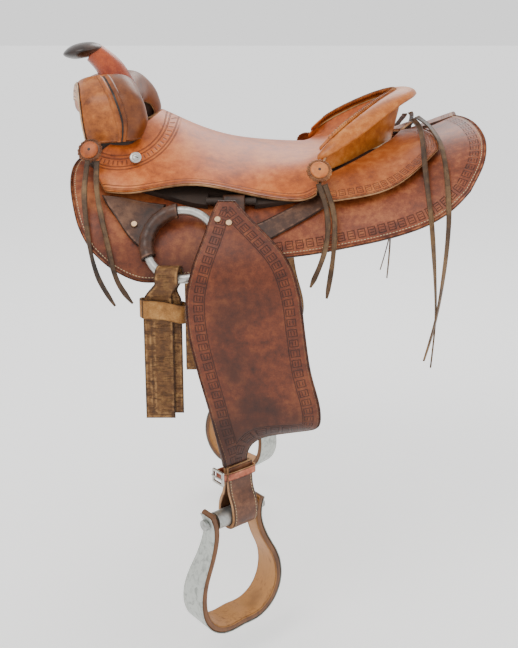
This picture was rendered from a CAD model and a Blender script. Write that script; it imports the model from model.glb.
import math
import bpy
import numpy as np
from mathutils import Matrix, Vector, noise
from mathutils.bvhtree import BVHTree


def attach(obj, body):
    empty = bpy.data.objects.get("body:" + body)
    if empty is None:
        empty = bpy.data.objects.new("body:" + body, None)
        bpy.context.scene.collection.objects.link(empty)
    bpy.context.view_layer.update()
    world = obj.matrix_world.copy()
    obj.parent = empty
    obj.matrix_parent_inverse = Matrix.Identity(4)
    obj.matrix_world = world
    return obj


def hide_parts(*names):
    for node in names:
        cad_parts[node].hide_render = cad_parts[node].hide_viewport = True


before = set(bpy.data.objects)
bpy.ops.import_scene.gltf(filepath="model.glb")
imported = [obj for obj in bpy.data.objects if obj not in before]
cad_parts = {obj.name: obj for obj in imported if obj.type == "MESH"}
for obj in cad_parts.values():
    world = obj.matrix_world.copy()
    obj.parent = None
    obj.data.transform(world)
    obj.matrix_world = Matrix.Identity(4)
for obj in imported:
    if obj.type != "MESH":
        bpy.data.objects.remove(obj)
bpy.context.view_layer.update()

# Western saddle. Shapes are worked out in millimetres, meshes are in metres.
# -X is the horse's head, -Y its near side, +Z up.
MM = 0.001
RNG = np.random.default_rng(7)

# ---- the saddle's surfaces, as the CAD model has them
BACK_LINE = ((-280, 45), (-223, 39), (-161, 25), (-60, 23), (57, 23),
             (128, 33), (200, 50), (256, 70), (313, 93), (345, 100))
HALF_WIDTH, DEPTH, ROUND = 245.0, 250.0, 2.5
SKIRT_T, GAP, LINING_T, SEAT_T, FENDER_T = 5.0, 0.4, 12.0, 5.0, 4.5


def through(x, pairs):
    """Curve through (x, y) pairs that never rises or falls past them."""
    n = len(pairs)
    if x <= pairs[0][0]:
        return pairs[0][1]
    if x >= pairs[-1][0]:
        return pairs[-1][1]
    h = [pairs[i + 1][0] - pairs[i][0] for i in range(n - 1)]
    d = [(pairs[i + 1][1] - pairs[i][1]) / h[i] for i in range(n - 1)]
    m = [d[0]]
    for i in range(1, n - 1):
        same = d[i - 1] * d[i] > 0
        m.append(2 * d[i - 1] * d[i] / (d[i - 1] + d[i]) if same else 0.0)
    m.append(d[-1])
    i = max(k for k in range(n - 1) if pairs[k][0] <= x)
    t = (x - pairs[i][0]) / h[i]
    a = (1 + 2 * t) * (1 - t) ** 2 * pairs[i][1] + t * (1 - t) ** 2 * h[i] * m[i]
    b = t * t * (3 - 2 * t) * pairs[i + 1][1] + t * t * (t - 1) * h[i] * m[i + 1]
    return a + b


def section_table():
    p = np.linspace(0, math.pi / 2, 1501)
    y = HALF_WIDTH * np.sin(p) ** (2 / ROUND)
    z = DEPTH * (np.maximum(np.cos(p), 0) ** (2 / ROUND) - 1)
    s = np.concatenate([[0], np.cumsum(np.hypot(np.diff(y), np.diff(z)))])
    return s, y, z


SEC_S, SEC_Y, SEC_Z = section_table()


def section_at(s):
    if s >= SEC_S[-1]:
        return SEC_Y[-1], SEC_Z[-1] - (s - SEC_S[-1])
    return np.interp(s, SEC_S, SEC_Y), np.interp(s, SEC_S, SEC_Z)


def back(x, s, off):
    """Near-side point: s down the barrel from the centre line, off above it."""
    s = max(s, 0.5)
    y0, z0 = section_at(max(s - 4, 0.0))
    y1, z1 = section_at(s + 4)
    long = math.hypot(y1 - y0, z1 - z0)
    ny, nz = -(z1 - z0) / long, (y1 - y0) / long
    y, z = section_at(s)
    return (x, -(y + off * ny), through(x, BACK_LINE) + z + off * nz)


def catmull(pairs, x):
    """Catmull-Rom curve through (x, y) pairs."""
    n = len(pairs)
    i = 0
    while i < n - 2 and pairs[i + 1][0] < x:
        i += 1
    h = pairs[i + 1][0] - pairs[i][0]
    t = min(max((x - pairs[i][0]) / h, 0.0), 1.0)
    a, b = pairs[i][1], pairs[i + 1][1]
    ma = mb = (b - a) / h
    if i > 0:
        ma = (b - pairs[i - 1][1]) / (pairs[i + 1][0] - pairs[i - 1][0])
    if i < n - 2:
        mb = (pairs[i + 2][1] - a) / (pairs[i + 2][0] - pairs[i][0])
    return ((1 + 2 * t) * (1 - t) ** 2 * a + t * (1 - t) ** 2 * h * ma
            + t * t * (3 - 2 * t) * b + t * t * (t - 1) * h * mb)


def curve(points, t):
    """Smooth curve through points, t from 0 to 1 by length."""
    run = [0.0]
    for a, b in zip(points, points[1:]):
        run.append(run[-1] + math.dist(a, b))
    return tuple(catmull([(r, p[k]) for r, p in zip(run, points)], t * run[-1])
                 for k in range(len(points[0])))


def coons(top, bottom, front, rear, u, v):
    """Point inside four outline curves."""
    t, b = curve(top, u), curve(bottom, u)
    f, r = curve(front, v), curve(rear, v)
    out = []
    for k in (0, 1):
        ruled = (1 - v) * t[k] + v * b[k] + (1 - u) * f[k] + u * r[k]
        corner = ((1 - u) * (1 - v) * top[0][k] + u * (1 - v) * top[-1][k]
                  + (1 - u) * v * bottom[0][k] + u * v * bottom[-1][k])
        out.append(ruled - corner)
    return out


def basis(n, t):
    """Weights of n clamped B-spline control points at each t."""
    d = min(3, n - 1)
    k = np.concatenate([np.zeros(d), np.arange(n - d + 1), np.full(d, n - d)]).astype(float)
    t = np.clip(np.asarray(t, float), 0, 1 - 1e-9)[:, None] * (n - d)
    w = ((k[:-1] <= t) & (t < k[1:])).astype(float)
    for p in range(1, d + 1):
        with np.errstate(divide="ignore", invalid="ignore"):
            a = np.nan_to_num((t - k[:-p - 1]) / (k[p:-1] - k[:-p - 1]), posinf=0, neginf=0)
            b = np.nan_to_num((k[p + 1:] - t) / (k[p + 1:] - k[1:-p]), posinf=0, neginf=0)
        w = a * w[:, :-1] + b * w[:, 1:]
    return w


def surface(net, nu, nv):
    """Dense grid of points on the smooth surface of a control net."""
    net = np.asarray(net, float)
    a = basis(net.shape[0], np.linspace(0, 1, nu))
    b = basis(net.shape[1], np.linspace(0, 1, nv))
    return np.einsum("ai,bj,ijk->abk", a, b, net)


def steps(n):
    return [i / (n - 1) for i in range(n)]


def ring_faces(nu, nv):
    """Quads between nu closed rings of nv points each."""
    i, j = np.meshgrid(np.arange(nu - 1), np.arange(nv), indexing="ij")
    k = (j + 1) % nv
    return np.stack([i * nv + j, i * nv + k, (i + 1) * nv + k, (i + 1) * nv + j],
                    axis=-1).reshape(-1, 4)


def net_of(place, off, nu, nv):
    return [[place(u, v, off(u, v) if callable(off) else off) for v in steps(nv)]
            for u in steps(nu)]


def pair(place, hi, lo, net, dense):
    """Dense grids of a piece's upper and lower face."""
    return [surface(net_of(place, off, *net), *dense) for off in (hi, lo)]


def on_back(outline, hi, lo, net, dense):
    return pair(lambda u, v, off: back(*coons(*outline, u, v), off), hi, lo, net, dense)


def offset_net(net, off):
    """Net moved off along its normals."""
    net = np.asarray(net, float)
    a, b = np.empty_like(net), np.empty_like(net)
    a[1:-1], a[0], a[-1] = net[2:] - net[:-2], net[1] - net[0], net[-1] - net[-2]
    b[:, 1:-1] = net[:, 2:] - net[:, :-2]
    b[:, 0], b[:, -1] = net[:, 1] - net[:, 0], net[:, -1] - net[:, -2]
    n = np.cross(a, b)
    return net + off * n / np.linalg.norm(n, axis=2, keepdims=True)


def unit(a):
    a = np.asarray(a, float)
    return a / np.maximum(np.linalg.norm(a, axis=-1, keepdims=True), 1e-12)


# ---- materials
class Nodes:
    """Short way to write a node tree."""
    def __init__(self, name):
        self.mat = bpy.data.materials.new(name)
        self.mat.use_nodes = True
        self.tree = self.mat.node_tree
        self.shader = self.tree.nodes["Principled BSDF"]

    def put(self, kind, values=(), **props):
        node = self.tree.nodes.new("ShaderNode" + kind)
        for k, v in props.items():
            setattr(node, k, v)
        for k, v in dict(values).items():
            if isinstance(v, bpy.types.NodeSocket):
                self.tree.links.new(v, node.inputs[k])
            else:
                node.inputs[k].default_value = v
        return node

    def math(self, op, *args, clamp=False):
        node = self.put("Math", dict(enumerate(args)), operation=op, use_clamp=clamp)
        return node.outputs[0]

    def add(self, *args):
        out = args[0]
        for a in args[1:]:
            out = self.math("ADD", out, a)
        return out

    def mul(self, a, b):
        return self.math("MULTIPLY", a, b)

    def noise(self, scale, detail=4.0, rough=0.55, vec=None, distort=0.0):
        values = {"Scale": scale, "Detail": detail, "Roughness": rough, "Distortion": distort}
        values["Vector"] = vec or self.place()
        return self.put("TexNoise", values).outputs["Fac"]

    def cells(self, scale, vec=None, feature="F1"):
        values = {"Scale": scale, "Vector": vec or self.place()}
        return self.put("TexVoronoi", values, feature=feature).outputs["Distance"]

    def place(self):
        if not hasattr(self, "_place"):
            self._place = self.put("TexCoord").outputs["Object"]
        return self._place

    def stretched(self, sx, sy, sz):
        return self.put("Mapping", {"Vector": self.place(), "Scale": (sx, sy, sz)}).outputs[0]

    def axis(self, k):
        """Object coordinate along X, Y or Z, in metres."""
        if not hasattr(self, "_axes"):
            self._axes = self.put("SeparateXYZ", {0: self.place()}).outputs
        return self._axes[k]

    def edge(self):
        """Length along the nearest edge and distance from it, in millimetres."""
        if not hasattr(self, "_edge"):
            uv = self.put("UVMap", uv_map="Edge").outputs[0]
            out = self.put("SeparateXYZ", {0: uv}).outputs
            self._edge = self.mul(out[0], 1000.0), self.mul(out[1], 1000.0)
        return self._edge

    def soft(self, x, a, b, lo=0.0, hi=1.0):
        """lo below a, hi above b, smooth between."""
        values = {"Value": x, "From Min": a, "From Max": b, "To Min": lo, "To Max": hi}
        return self.put("MapRange", values, interpolation_type="SMOOTHSTEP").outputs[0]

    def pulse(self, x, at, half):
        """1 where x is at, falling to 0 at half away."""
        away = self.math("ABSOLUTE", self.math("SUBTRACT", x, at))
        return self.soft(away, half * 0.35, half, 1.0, 0.0)

    def band(self, x, a, b, soft=0.5):
        return self.mul(self.soft(x, a - soft, a + soft), self.soft(x, b - soft, b + soft, 1.0, 0.0))

    def top(self, *args):
        out = args[0]
        for a in args[1:]:
            out = self.math("MAXIMUM", out, a)
        return out

    def ramp(self, fac, stops):
        node = self.put("ValToRGB", {"Fac": fac})
        bar = node.color_ramp.elements
        while len(bar) < len(stops):
            bar.new(0.5)
        for e, (at, col) in zip(bar, stops):
            e.position, e.color = at, (*col, 1)
        return node.outputs[0]

    def mix(self, fac, a, b, blend="MIX"):
        values = {0: fac}
        for k, v in ((6, a), (7, b)):
            values[k] = v if isinstance(v, bpy.types.NodeSocket) else (*v, 1)
        return self.put("Mix", values, data_type="RGBA", blend_type=blend).outputs[2]

    def bump(self, height, strength, mm, normal=None):
        values = {"Height": height, "Strength": strength, "Distance": mm * MM}
        if normal:
            values["Normal"] = normal
        return self.put("Bump", values).outputs[0]

    def finish(self, colour=None, rough=None, normal=None, **plain):
        links = self.tree.links
        for k, v in (("Base Color", colour), ("Roughness", rough), ("Normal", normal)):
            if isinstance(v, bpy.types.NodeSocket):
                links.new(v, self.shader.inputs[k])
            elif v is not None:
                self.shader.inputs[k].default_value = (*v, 1) if k == "Base Color" else v
        for k, v in plain.items():
            self.shader.inputs[k.replace("_", " ")].default_value = v
        return self.mat


def hue(h):
    """Linear colour of a hex sRGB value."""
    c = [int(h[i:i + 2], 16) / 255 for i in (0, 2, 4)]
    return tuple(x / 12.92 if x <= 0.04045 else ((x + 0.055) / 1.055) ** 2.4 for x in c)


def brick_tooling(g, start, stop, pitch=15.0):
    """Stamped border between two distances from the edge: squares with two bars in each."""
    along, d = g.edge()
    mid, wide = (start + stop) / 2, stop - start
    fl = g.math("SUBTRACT", g.math("FRACT", g.math("DIVIDE", along, pitch)), 0.5)
    x = g.mul(g.math("ABSOLUTE", fl), pitch)
    y = g.math("ABSOLUTE", g.math("SUBTRACT", d, mid))
    ring = g.top(g.math("DIVIDE", x, pitch * 0.36), g.math("DIVIDE", y, wide / 2))
    bars = g.mul(g.pulse(y, wide * 0.17, 0.8), g.soft(x, pitch * 0.18, pitch * 0.24, 1.0, 0.0))
    return g.top(g.pulse(ring, 0.92, 0.15), bars)


def line_tooling(g, places, half=0.9):
    d = g.edge()[1]
    return g.top(*[g.pulse(d, x, half) for x in places])


def leather(name, tones, rough=0.42, coat=0.12, press=None, groove=(), grain=1.0,
            worn=0.5, edge_dark=0.75, use_edge=True, blotch=1.0, crease=0.6, shade=None):
    """Leather with blotches, pores, creases, tooling and edges darkened by handling."""
    dark, mid, light = [hue(h) for h in tones.split()]
    g = Nodes(name)
    big = g.noise(14, 3, 0.55, distort=0.6)
    small = g.noise(95, 5, 0.62)
    fine = g.noise(620, 3, 0.6)
    tone = g.add(g.mul(big, 0.62 * blotch), g.mul(small, 0.38), g.mul(fine, 0.16),
                 0.31 * (1 - blotch) - 0.08)
    colour = g.ramp(tone, ((0.34, dark), (0.5, mid), (0.66, light)))
    pores = g.cells(1150)
    creases = g.noise(210, 6, 0.7, vec=g.stretched(1.0, 1.0, 1.9), distort=1.2)
    height = g.add(g.mul(pores, 0.55 * grain), g.mul(creases, crease), g.mul(small, 0.5))
    normal = g.bump(height, 0.42, 0.35)
    shine = g.add(rough - 0.10, g.mul(small, 0.16), g.mul(fine, 0.06))
    if use_edge:
        d = g.edge()[1]
        rim = g.soft(d, 0.4, 2.6, 1.0, 0.0)
        colour = g.mix(g.mul(rim, edge_dark), colour, tuple(c * 0.22 for c in dark))
        scuff = g.mul(g.band(d, 1.6, 4.2, 1.2), g.soft(small, 0.42, 0.62))
        colour = g.mix(g.mul(scuff, worn), colour, tuple(min(c * 1.5 + 0.02, 1) for c in light))
    if shade:
        at, depth = shade(g)
        colour = g.mix(g.mul(at, depth), colour, tuple(c * 0.5 for c in dark))
    marks = press(g) if press else None
    if groove:
        lines = line_tooling(g, groove)
        marks = g.top(marks, lines) if marks else lines
    if marks:
        colour = g.mix(g.mul(marks, 0.62), colour, tuple(c * 0.4 for c in dark))
        normal = g.bump(g.math("SUBTRACT", 1.0, marks), 1.0, 0.9, normal)
        shine = g.add(shine, g.mul(marks, 0.12))
    return g.finish(colour, shine, normal, Coat_Weight=coat, Coat_Roughness=0.28,
                    Specular_IOR_Level=0.3)


def metal(name, base, spot, rough, stain=0.5, scale=60, metallic=1.0, pit=0.3):
    g = Nodes(name)
    big, small = g.noise(scale, 5, 0.65, distort=0.8), g.noise(scale * 9, 4, 0.6)
    colour = g.mix(g.mul(g.soft(big, 0.45, 0.68), stain), base, spot)
    shine = g.add(rough, g.mul(small, 0.16), g.mul(big, 0.12))
    return g.finish(colour, shine, g.bump(g.add(small, big), 0.3, pit), Metallic=metallic)


def wood(name, dark, light, rough=0.55, worn=0.3):
    g = Nodes(name)
    grain = g.noise(70, 6, 0.6, vec=g.stretched(1.0, 1.0, 0.16), distort=2.2)
    fine = g.noise(600, 4, 0.6, vec=g.stretched(1.0, 1.0, 0.08))
    big = g.noise(16, 3, 0.5)
    tone = g.add(g.mul(grain, 0.6), g.mul(fine, 0.25), g.mul(big, 0.3))
    colour = g.ramp(tone, ((0.36, dark), (0.58, light), (0.78, tuple(c * 0.8 for c in light))))
    colour = g.mix(g.mul(g.soft(big, 0.5, 0.72), worn), colour, tuple(c * 0.4 for c in dark))
    return g.finish(colour, g.add(rough, g.mul(fine, 0.2)), g.bump(g.add(grain, fine), 0.4, 0.3))


def fleece_mat():
    g = Nodes("sheepskin")
    curls, tuft = g.cells(240), g.noise(60, 5, 0.6)
    fine = g.noise(900, 4, 0.7)
    tone = g.add(g.mul(tuft, 0.5), g.mul(curls, 0.45), g.mul(fine, 0.2))
    colour = g.ramp(tone, ((0.3, hue("7d6a4c")), (0.5, hue("b9a582")), (0.75, hue("d8c9a8"))))
    return g.finish(colour, 0.95, g.bump(g.add(curls, g.mul(fine, 0.6)), 0.8, 2.2),
                    Sheen_Weight=0.35, Sheen_Roughness=0.6)


def thread_mat(name, a, b):
    g = Nodes(name)
    return g.finish(g.mix(g.noise(180, 3), a, b), 0.75, g.bump(g.noise(1500, 2), 0.3, 0.2))


def bricks(start, stop, pitch=15.0):
    return lambda g: brick_tooling(g, start, stop, pitch)


def skirt_press(g):
    """Border behind the fender only; the front of the skirt is plain."""
    return g.mul(brick_tooling(g, 11.0, 24.0), g.soft(g.axis(0), -0.10, -0.07))


def skirt_shade(g):
    """Dark where the fender and the latigo rub."""
    x, z = g.axis(0), g.axis(2)
    low = g.mul(g.soft(z, -0.13, -0.02, 1.0, 0.0), g.soft(x, -0.02, 0.06, 1.0, 0.0))
    return g.mul(low, g.soft(g.noise(18, 3), 0.3, 0.6, 0.6, 1.0)), 0.62


def fender_shade(g):
    """Smoky dark middle and foot."""
    d = g.edge()[1]
    z = g.axis(2)
    middle = g.mul(g.soft(d, 18.0, 50.0), g.soft(g.noise(11, 3, distort=0.6), 0.36, 0.60))
    middle = g.mul(middle, g.soft(z, -0.20, -0.08, 0.8, 0.2))
    foot = g.mul(g.soft(z, -0.34, -0.25, 1.0, 0.0), g.soft(g.noise(16, 3), 0.30, 0.55, 0.55, 1.0))
    return g.top(middle, foot), 0.78


def seat_press(g):
    """Tooled lines that follow the swell's rear and foot."""
    x = g.math("DIVIDE", g.add(g.axis(0), 0.205), 0.060)
    z = g.math("DIVIDE", g.math("SUBTRACT", g.axis(2), 0.092), 0.046)
    r = g.math("SQRT", g.add(g.mul(x, x), g.mul(z, z)))
    arcs = g.top(*[g.pulse(r, k, 0.024) for k in (1.0, 1.09, 1.30, 1.38)])
    dots = g.math("FRACT", g.mul(g.math("ARCTAN2", z, x), 11.0))
    petals = g.mul(g.pulse(dots, 0.5, 0.2), g.band(r, 1.14, 1.25, 0.02))
    return g.mul(g.top(arcs, petals), g.soft(g.axis(0), -0.128, -0.120, 1.0, 0.0))


def cross_creases(g):
    """Fine creases across a strap that has been pulled tight."""
    fine = g.noise(260, 3, 0.6, vec=g.stretched(0.22, 0.22, 1.7), distort=0.5)
    return g.mul(g.soft(fine, 0.54, 0.64), 0.6)


def fork_shade(g):
    """Darker behind the welt, where the swell turns to the rear."""
    return g.soft(g.add(g.axis(0), g.mul(g.axis(2), 0.35)), -0.176, -0.160), 0.6


def gullet_press(g):
    d = g.edge()[1]
    return g.top(g.pulse(d, 5.5, 1.0), g.pulse(d, 13.0, 0.8))


MAT = {
    "skirt": leather("skirt_leather", "341407 77371a a35f34", 0.42, 0.08,
                     press=skirt_press, groove=(4.4,), blotch=0.7, shade=skirt_shade),
    "jockey": leather("jockey_leather", "58240a 924614 b86c34", 0.42, 0.08,
                      press=bricks(6.5, 18.0, 13.0), groove=(3.4,), blotch=0.7),
    "seat": leather("seat_leather", "742f08 b0561a cc7a3a", 0.40, 0.08,
                    press=seat_press, groove=(4.2, 6.4, 11.0), grain=0.6, worn=0.2, crease=0.35,
                    blotch=0.7),
    "fork": leather("fork_leather", "572608 9a541f c07c40", 0.40, 0.1,
                    grain=0.7, blotch=0.6, use_edge=False, shade=fork_shade),
    "gullet": leather("gullet_band", "6a3a1a b57c48 d8a878", 0.36, 0.15,
                      press=gullet_press, grain=0.6, blotch=0.6),
    "horn": leather("horn_leather", "4c1606 862f0e ac4c1e", 0.26, 0.3,
                    grain=0.3, use_edge=False, crease=0.25),
    "cap": leather("horn_cap_leather", "120b08 2c1d17 4c3b33", 0.30, 0.3,
                   grain=0.7, use_edge=False, crease=0.8),
    "roll": leather("roll_leather", "7c3a0e b06222 cc8848", 0.38, 0.1,
                    grain=0.5, use_edge=False, crease=0.4, blotch=0.6),
    "fender": leather("fender_leather", "301206 602a12 854824", 0.40, 0.1,
                      press=bricks(11.0, 24.0), groove=(2.8, 26.0), blotch=0.5,
                      shade=fender_shade),
    "rig": leather("rigging_leather", "1e110b 43281a 6a4833", 0.40, 0.15,
                   blotch=0.8),
    "strap": leather("strap_leather", "22120a 4a2b1a 6e4a30", 0.40, 0.12),
    "leg": leather("lower_leather_mat", "28140a 55301c 7d5236", 0.38, 0.15,
                   blotch=0.7, groove=(3.0,)),
    "hobble": leather("hobble_leather", "4a1a0c 8a3e24 ad6242", 0.40, 0.12),
    "latigo": leather("latigo_leather", "2c1808 5e3c1c 8e683a", 0.6, 0.0,
                      grain=1.2, crease=1.0, blotch=0.7, edge_dark=0.35, press=cross_creases),
    "latigo_tan": leather("latigo_tan", "4a2c10 8c5e2c b88a50", 0.6, 0.0,
                          grain=1.2, crease=1.0, blotch=0.7, use_edge=False),
    "lace": leather("string_leather", "1c120a 4a3420 765a3a", 0.5, 0.05,
                    use_edge=False, grain=1.2),
    "dark": leather("dark_leather", "100a07 24160f 44302a", 0.42, 0.15,
                    use_edge=False),
    "jockey_lace": leather("lacing_leather", "3c1c0a 70401c ad7a48", 0.45,
                           0.1, use_edge=False),
    "rim": leather("rosette_rim", "3a1c0e 70401f a06a40", 0.42, 0.15,
                   use_edge=False),
    "rosette": leather("rosette_leather", "6a2c0a a4521e c27840", 0.42, 0.08,
                       use_edge=False),
    "edge": leather("cut_edge", "120906 2a170d 50321f", 0.5, 0.05,
                    use_edge=False),
    "pale_edge": leather("pale_edge", "5a3a24 946a46 bd936a", 0.6, 0.0,
                         use_edge=False),
    "flesh": leather("flesh_side", "4a3220 735539 967550", 0.85, 0.0,
                     use_edge=False, grain=0.3, crease=1.6),
    "fleece": fleece_mat(),
    "cream": thread_mat("cream_thread", hue("d8c69c"), hue("a8946a")),
    "brown": thread_mat("brown_thread", hue("7a5a3a"), hue("4a3420")),
    "nickel": metal("aged_nickel", hue("b8b6b0"), hue("6c665a"), 0.22, 0.5, 90),
    "steel": metal("bolt_steel", hue("a8a9a6"), hue("6a655c"), 0.34, 0.5, 120),
    "zinc": metal("galvanised_sheet", hue("bcbfb9"), hue("858882"), 0.46, 0.7, 110, 0.7),
    "brass": metal("rivet_brass", hue("c4a684"), hue("7a5c40"), 0.34, 0.4, 200),
    "tree": wood("tree_wood", hue("6b4a2c"), hue("a37f52")),
    "bar": wood("bar_rawhide", hue("120b07"), hue("2e1e13"), 0.6),
    "stirrup": wood("stirrup_wood", hue("6c421c"), hue("b07a40"), 0.42, 0.45),
    "stirrup_rim": wood("stirrup_rim", hue("2a160a"), hue("6a4220"), 0.5, 0.4),
}


# ---- meshes
def mesh_object(name, verts, faces, mats, face_mat=None, uv=None, smooth=True):
    """Object from points in millimetres; uv is one (along, distance) pair per point."""
    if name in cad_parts:
        name += "_skin"
    me = bpy.data.meshes.new(name)
    verts = np.asarray(verts, float) * MM
    me.from_pydata(verts.tolist(), [], [list(map(int, f)) for f in faces])
    for m in mats:
        me.materials.append(MAT[m])
    if face_mat is not None:
        me.polygons.foreach_set("material_index", np.asarray(face_mat, int))
    if uv is not None:
        layer = me.uv_layers.new(name="Edge")
        loop_v = np.empty(len(me.loops), int)
        me.loops.foreach_get("vertex_index", loop_v)
        layer.data.foreach_set("uv", (np.asarray(uv, float) * MM)[loop_v].ravel())
    me.polygons.foreach_set("use_smooth", [smooth] * len(me.polygons))
    me.update()
    ob = bpy.data.objects.new(name, me)
    bpy.context.scene.collection.objects.link(ob)
    return ob


def settle(ob, body, slot, *nodes):
    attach(ob, body)
    if nodes:
        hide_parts(*nodes)
    return ob


def grid_faces(nu, nv, base=0, flip=False):
    i, j = np.meshgrid(np.arange(nu - 1), np.arange(nv - 1), indexing="ij")
    a = base + i * nv + j
    f = np.stack([a, a + nv, a + nv + 1, a + 1], axis=-1).reshape(-1, 4)
    return f[:, ::-1] if flip else f


def border_index(nu, nv):
    """Grid indices round the edge, as (i, j) pairs, with the side each lies on."""
    ring = [(i, 0, "v0") for i in range(nu - 1)]
    ring += [(nu - 1, j, "u1") for j in range(nv - 1)]
    ring += [(i, nv - 1, "v1") for i in range(nu - 1, 0, -1)]
    ring += [(0, j, "u0") for j in range(nv - 1, 0, -1)]
    return ring


def edge_distance(points, line, closed_gap=30.0):
    """(length along, distance) of each point from a run of edge points."""
    a, b = line[:-1], line[1:]
    long = np.linalg.norm(b - a, axis=1)
    real = long < closed_gap
    run = np.concatenate([[0], np.cumsum(long)])[:-1]
    a, b, long, run = a[real], b[real], np.maximum(long[real], 1e-9), run[real]
    out = np.empty((len(points), 2))
    for k in range(0, len(points), 2000):
        p = points[k:k + 2000, None, :]
        t = np.clip(((p - a) * (b - a)).sum(-1) / long ** 2, 0, 1)
        gap = np.linalg.norm(p - (a + t[..., None] * (b - a)), axis=-1)
        best = gap.argmin(1)
        rows = np.arange(len(best))
        out[k:k + 2000, 0] = run[best] + t[rows, best] * long[best]
        out[k:k + 2000, 1] = gap[rows, best]
    return out


class Panel:
    """Leather between two grids of points, with rounded edges."""
    def __init__(self, top, under, sides="u0 u1 v0 v1", round_mm=1.6):
        self.top, self.under = np.asarray(top, float), np.asarray(under, float)
        self.nu, self.nv = self.top.shape[:2]
        self.ring = border_index(self.nu, self.nv)
        self.round, self.sides = round_mm, sides
        keep = sides.split()
        line = [self.top[i, j] for i, j, side in self.ring if side in keep]
        if len(keep) == 4:
            line.append(line[0])
        self.line = np.array(line)
        self.kept = keep

    def build(self, name, mats, tool_under=False):
        nu, nv, n = self.nu, self.nv, self.nu * self.nv
        top, under = self.top.copy(), self.under.copy()
        ii = np.array([r[0] for r in self.ring])
        jj = np.array([r[1] for r in self.ring])
        ki, kj = np.clip(ii, 1, nu - 2), np.clip(jj, 1, nv - 2)
        inward = unit(self.top[ki, kj] - self.top[ii, jj])
        rim_t, rim_u = self.top[ii, jj].copy(), self.under[ii, jj].copy()
        thick = np.linalg.norm(rim_t - rim_u, axis=1, keepdims=True)
        r = np.minimum(self.round, thick * 0.45)
        top[ii, jj] += inward * r
        under[ii, jj] += inward * r
        rings = []
        for a, inset in ((0.10, 0.35), (0.26, 0.06), (0.5, 0.0), (0.74, 0.06), (0.90, 0.35)):
            rings.append(rim_t * (1 - a) + rim_u * a + inward * r * inset)
        verts = np.concatenate([top.reshape(-1, 3), under.reshape(-1, 3)] + rings)
        faces = [grid_faces(nu, nv), grid_faces(nu, nv, n, True)]
        kinds = [np.zeros(len(faces[0])), np.full(len(faces[1]), 2)]
        m = len(self.ring)
        loops = [ii * nv + jj] + [2 * n + k * m + np.arange(m) for k in range(5)]
        loops.append(n + ii * nv + jj)
        for k, (a, b) in enumerate(zip(loops, loops[1:])):
            f = np.stack([a, np.roll(a, -1), np.roll(b, -1), b], axis=1)
            faces.append(f)
            kinds.append(np.full(m, 1 if 0 < k < 5 else 0 if k == 0 else 2))
        uv_top = edge_distance(top.reshape(-1, 3), self.line)
        uv_under = uv_top if tool_under else np.stack([uv_top[:, 0], uv_top[:, 1] + 60], axis=1)
        uv_rim = np.zeros((5 * m, 2))
        uv = np.concatenate([uv_top, uv_under, uv_rim])
        faces = np.concatenate(faces)
        if self.flipped():
            faces = faces[:, ::-1]
        return mesh_object(name, verts, faces, mats, np.concatenate(kinds), uv)

    def on(self, f, round_mm=None):
        """The same panel, moved by f."""
        return Panel(f(self.top), f(self.under), self.sides, round_mm or self.round)

    def flipped(self):
        """True if the top grid's own winding faces the underside."""
        i, j = self.nu // 2, self.nv // 2
        n = np.cross(self.top[i + 1, j] - self.top[i, j], self.top[i, j + 1] - self.top[i, j])
        return np.dot(n, self.top[i, j] - self.under[i, j]) < 0

    def tree(self):
        pts = [Vector(p) for p in self.top.reshape(-1, 3)]
        return BVHTree.FromPolygons(pts, grid_faces(self.nu, self.nv).tolist())

    def inset(self, d, sides=None, pitch=5.0):
        """Points and normals at d from the kept edges, pitch apart, one list per run."""
        keep = sides.split() if sides else self.kept
        tree, runs, run = self.tree(), [], []
        ring = [r for r in self.ring if r[2] in keep]
        for i, j, _ in ring:
            p = self.top[i, j]
            if run and np.linalg.norm(p - run[-1]) > 40:
                runs.append(np.array(run))
                run = []
            run.append(p)
        runs.append(np.array(run))
        edge = np.concatenate(runs)
        out = []
        for run in runs:
            if len(run) < 3:
                continue
            t = unit(np.gradient(run, axis=0))
            pts = []
            for k, p in enumerate(run):
                w = np.cross(tree.find_nearest(Vector(p))[1], t[k])
                probe = [np.array(tree.find_nearest(Vector(p + s * w * d))[0]) for s in (1, -1)]
                gaps = [np.linalg.norm(edge - q, axis=1).min() for q in probe]
                q = probe[0] if gaps[0] > gaps[1] else probe[1]
                if max(gaps) > d * 0.93:
                    pts.append(q)
            pts = even(np.array(pts), pitch)
            norms = np.array([tree.find_nearest(Vector(p))[1] for p in pts])
            mid = self.top[self.nu // 2, self.nv // 2] - self.under[self.nu // 2, self.nv // 2]
            if np.dot(norms[len(norms) // 2], mid) < 0 and len(runs) == 1:
                norms = -norms
            elif self.flipped():
                norms = -norms if len(runs) > 1 else norms
            out.append((pts, norms))
        return out


def even(pts, pitch):
    """Polyline resampled at an even pitch."""
    long = np.concatenate([[0], np.cumsum(np.linalg.norm(np.diff(pts, axis=0), axis=1))])
    at = np.linspace(0, long[-1], max(int(long[-1] / pitch), 2) + 1)
    return np.stack([np.interp(at, long, pts[:, k]) for k in range(3)], axis=1)


def bead(long, wide, tall, nu=7, nv=6):
    """Points and faces of one stitch, lying along x with z out of the leather."""
    verts = []
    for t in steps(nu):
        r = math.sin(math.pi * (0.06 + 0.88 * t)) ** 0.5
        for j in range(nv):
            a = 2 * math.pi * j / nv
            verts.append(((t - 0.5) * long, math.cos(a) * wide / 2 * r,
                          math.sin(a) * tall / 2 * r - (1 - r) * 0.35 * tall))
    return np.array(verts), ring_faces(nu, nv)


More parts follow.
